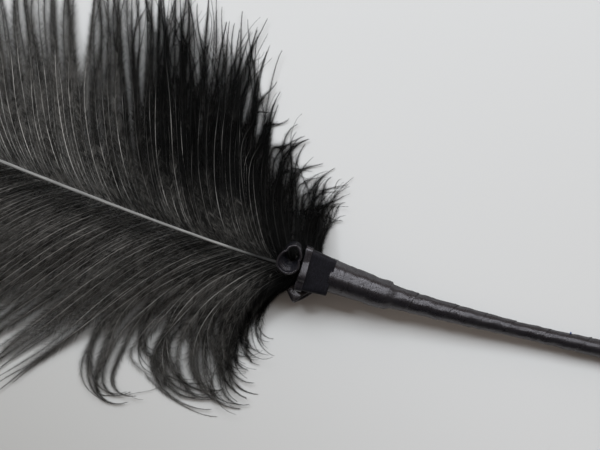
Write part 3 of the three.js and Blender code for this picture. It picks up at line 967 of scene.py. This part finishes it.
def make_loop(name, material, centre, directions, radii, flare, length, power=2):
    """A loop of ribbon folded double along its length: an oval of two radii round an axis, the squarer the
    greater the power.

    directions are those of the two radii and the axis. flare turns its upper edge outward on one side,
    mostly that of the second direction. length is the ribbon's once round."""
    rows = 84
    fold = 0.75
    half_width = ribbon_width / 4
    flare_angle = math.radians(68)
    angle = np.radians(np.arange(rows) * 360 / rows)[:, None]
    along, layer = fold_path(-half_width, half_width, fold, 2 * half_width, 12)
    share = (along[None, :] + half_width) / (2 * half_width)
    turn = angle / (2 * math.pi)
    off = fold / 2 - layer[None, :]
    off = off + ripples(share, turn, [(0.1, 0.7, 3), (0.07, 1.2, -5), (0.05, 1.1, 8)])
    off = off + flare * np.clip(np.cos(angle - flare_angle), 0, 1) * np.clip(2 * share - 1, 0, 1) ** 1.2
    long, short = radii
    first_share = np.sign(np.cos(angle)) * np.abs(np.cos(angle)) ** (2 / power)
    second_share = np.sign(np.sin(angle)) * np.abs(np.sin(angle)) ** (2 / power)
    out = unit(np.stack([np.sign(first_share) * np.abs(first_share) ** (power - 1) / long,
                         np.sign(second_share) * np.abs(second_share) ** (power - 1) / short], -1))
    to_first = long * first_share + off * out[..., 0]
    to_second = short * second_share + off * out[..., 1]
    to_axis = along[None, :] + ripples(0, turn, [(0.14, 0, 2), (0.1, 0, 5)])
    first, second, axis = directions
    grid = centre + first * to_first[..., None] + second * to_second[..., None] + axis * to_axis[..., None]
    lengths = np.linspace(0, length, rows + 1)
    piece = cloth_piece(name, grid, material, ["bow_ribbon"], lengths, round_rows=True,
                        thickness=loop_thickness)


def turned(first, second, degrees):
    """first turned towards second, and second turned the same way."""
    cosine, sine = math.cos(math.radians(degrees)), math.sin(math.radians(degrees))
    return first * cosine + second * sine, second * cosine - first * sine


def make_bow(material):
    """The upper loop stands on the shaft, leaning away from the +Y side; the lower one pokes out below."""
    upper_lean = 21
    _, along, across, up = shaft_frame(184.6)
    axis, _ = turned(up, -across, upper_lean)
    second = np.cross(axis, along)
    make_loop("bow_upper_loop", material, place(184.1, 3.9, 8.0), (along, second, axis),
              radii=(3.1, 4.1), flare=3.6, length=30)
    lower_swing, lower_dip, lower_roll = 45, 14, 11
    _, along, across, up = shaft_frame(176.7)
    first, aside = turned(along, -across, lower_swing)
    first, raised = turned(first, -up, lower_dip)
    axis, second = turned(aside, -raised, lower_roll)
    make_loop("bow_lower_loop", material, place(177.4, -6.9, -4.0), (first, second, axis),
              radii=(4.9, 1.8), flare=0.0, length=24, power=4)


def make_lint(material):
    """A crumb of blue lint with a few stray fibres, caught on the wound ribbon."""
    centre = place(65.5, 3.2, 1.5)
    fibres = 14
    fibre_radius = 0.09
    t = np.linspace(0, 1, 9)[None, :]
    aim = unit(random.normal(0, 1, (fibres, 3)) + [0, 0.4, 0.4])
    curl = random.normal(0, 0.35, (fibres, 3))
    size = random.uniform(0.35, 0.85, fibres)[:, None, None]
    lines = centre + (aim[:, None] * (t[..., None] - 0.35) + curl[:, None] * (t[..., None] ** 2)) * size
    points, faces = tube_mesh(lines, fibre_radius)
    make_object("blue_lint", points, faces, material)


# ---- scene ----

def make_stage():
    floor_mesh = bpy.data.meshes.new("floor")
    half = 3.0
    corners = [(-half, -half, 0), (half, -half, 0), (half, half, 0), (-half, half, 0)]
    floor_mesh.from_pydata(corners, [], [(0, 1, 2, 3)])
    floor_mesh.materials.append(floor_material())
    floor = bpy.data.objects.new("floor", floor_mesh)
    bpy.context.scene.collection.objects.link(floor)


def make_camera():
    azimuth, elevation = math.radians(camera_azimuth), math.radians(camera_elevation)
    level = math.cos(elevation)
    view = np.array([-math.sin(azimuth) * level, math.cos(azimuth) * level, -math.sin(elevation)])
    data = bpy.data.cameras.new("camera")
    data.lens = camera_lens
    data.sensor_width = 36
    data.clip_start = 0.01
    camera = bpy.data.objects.new("camera", data)
    camera.location = [float(v) * MM for v in np.array(camera_aim) - view * camera_distance]
    camera.rotation_euler = (math.radians(90 - camera_elevation), 0, azimuth)
    bpy.context.scene.collection.objects.link(camera)
    bpy.context.scene.camera = camera


# Beside the bow.
light_aim = (0.1, 0.0, 0.0)
light_distance = 1.25


def add_light(name, azimuth, elevation, size, power):
    """A soft light of a width and a height. Its azimuth is in degrees from +X towards +Y."""
    azimuth = math.radians(azimuth)
    rise = math.radians(elevation)
    data = bpy.data.lights.new(name, "AREA")
    data.shape = "RECTANGLE"
    data.size, data.size_y = size
    data.energy = power
    data.color = (0.87, 0.95, 1.0)
    lamp = bpy.data.objects.new(name, data)
    level = math.cos(rise)
    offset = np.array([math.cos(azimuth) * level, math.sin(azimuth) * level, math.sin(rise)])
    lamp.location = np.array(light_aim) + offset * light_distance
    lamp.rotation_euler = (math.pi / 2 - rise, 0, azimuth + math.pi / 2)
    bpy.context.scene.collection.objects.link(lamp)


def light_scene():
    """A wide soft window on the +Y side, a smaller one towards the tip, and a dim warm room."""
    add_light("window", azimuth=90, elevation=60, size=(1.8, 0.6), power=15.5)
    add_light("side_window", azimuth=168, elevation=52, size=(0.2, 0.2), power=3.0)
    warm = (1.0, 0.87, 0.77, 1)
    brightest_towards = (-0.29, 0.96, 0)
    dimmest, brightest = 0.03, 0.5
    world = bpy.data.worlds.new("room")
    world.use_nodes = True
    tree = world.node_tree
    background = tree.nodes["Background"]
    direction = tree.nodes.new("ShaderNodeTexCoord")
    facing = tree.nodes.new("ShaderNodeVectorMath")
    facing.operation = "DOT_PRODUCT"
    facing.inputs[1].default_value = brightest_towards
    strength = tree.nodes.new("ShaderNodeMapRange")
    for socket, value in zip(strength.inputs[1:5], (-1, 1, dimmest, brightest)):
        socket.default_value = value
    tree.links.new(direction.outputs["Generated"], facing.inputs[0])
    tree.links.new(facing.outputs["Value"], strength.inputs[0])
    tree.links.new(strength.outputs[0], background.inputs[1])
    background.inputs[0].default_value = warm
    bpy.context.scene.world = world
    bpy.context.scene.view_settings.view_transform = "Standard"


make_camera()
light_scene()
make_stage()
make_rachis(rachis_material())
black_barbs = barb_material()
make_vanes(black_barbs)
make_down(black_barbs)
satin = satin_material("black_satin", 0.66, 0.24, 0.36)
make_winding(satin)
make_band(satin, satin_material("satin_back", 0.15, 0.5, 0.6))
make_bow(satin)
make_lint(lint_material())
make_tip(black_barbs)
